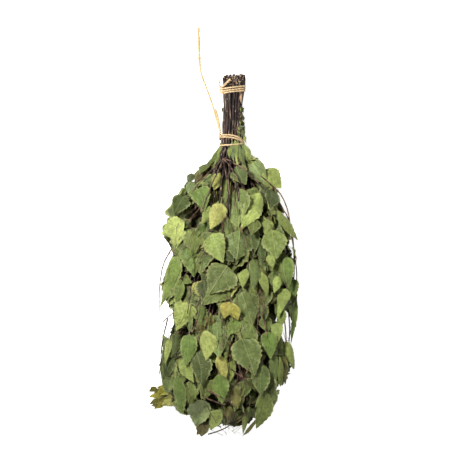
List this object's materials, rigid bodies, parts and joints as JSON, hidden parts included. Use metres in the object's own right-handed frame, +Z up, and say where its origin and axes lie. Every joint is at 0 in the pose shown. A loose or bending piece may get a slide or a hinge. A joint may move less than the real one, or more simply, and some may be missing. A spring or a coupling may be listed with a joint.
{
  "type": "bundle of twigs",
  "caption": "Bath whisk: a bundle of dried leafy birch twigs, gripped into a round handle by twine ties with loose ends. It lies on its side.",
  "frame": {"origin": "middle of the whisk's box in X and Y, on the surface that it lies on", "axes": "+Y along the whisk towards the cut ends of its twigs, leaf tips towards -Y; +Z up, away from the surface; +X across it, to the right when seen from above with the cut ends away from the viewer"},
  "size_m": [0.2389, 0.6601, 0.118],
  "materials": {
    "bark": "dry purplish-brown birch bark with grey highlights and pale specks; sawn ends are tan",
    "leaf": "dried birch leaves, olive to yellow-green, dull, with brown edges and raised veins",
    "twine": "two-ply pale bast twine, matt and slightly hairy"
  },
  "bodies": {
    "root": {"twig_core": "bark", "twig_inner_01": "bark", "twig_inner_02": "bark", "twig_inner_03": "bark", "twig_inner_04": "bark", "twig_inner_05": "bark", "twig_inner_06": "bark", "twig_middle_01": "bark", "twig_middle_02": "bark", "twig_middle_03": "bark", "twig_middle_04": "bark", "twig_middle_05": "bark", "twig_middle_06": "bark", "twig_middle_07": "bark", "twig_middle_08": "bark", "twig_middle_09": "bark", "twig_middle_10": "bark", "twig_middle_11": "bark", "twig_middle_12": "bark", "twig_outer_01": "bark", "twig_outer_02": "bark", "twig_outer_03": "bark", "twig_outer_04": "bark", "twig_outer_05": "bark", "twig_outer_06": "bark", "twig_outer_07": "bark", "twig_outer_08": "bark", "twig_outer_09": "bark", "twig_outer_10": "bark", "twig_outer_11": "bark", "twig_outer_12": "bark", "twig_outer_13": "bark", "twig_outer_14": "bark", "twig_outer_15": "bark", "twig_outer_16": "bark", "twig_outer_17": "bark", "twig_outer_18": "bark", "leaf_spray_01": "leaf", "leaf_spray_02": "leaf", "leaf_spray_03": "leaf", "leaf_spray_04": "leaf", "leaf_spray_05": "leaf", "leaf_spray_06": "leaf", "leaf_spray_07": "leaf", "leaf_spray_08": "leaf", "leaf_spray_09": "leaf", "leaf_spray_10": "leaf", "leaf_spray_11": "leaf", "leaf_spray_12": "leaf", "leaf_spray_13": "leaf", "leaf_spray_14": "leaf", "leaf_spray_15": "leaf", "leaf_spray_16": "leaf", "leaf_spray_17": "leaf", "leaf_spray_18": "leaf", "upper_tie": "twine", "lower_tie": "twine", "tie_tail_long": "twine", "tie_tail_short": "twine"}
  },
  "joints": []
}
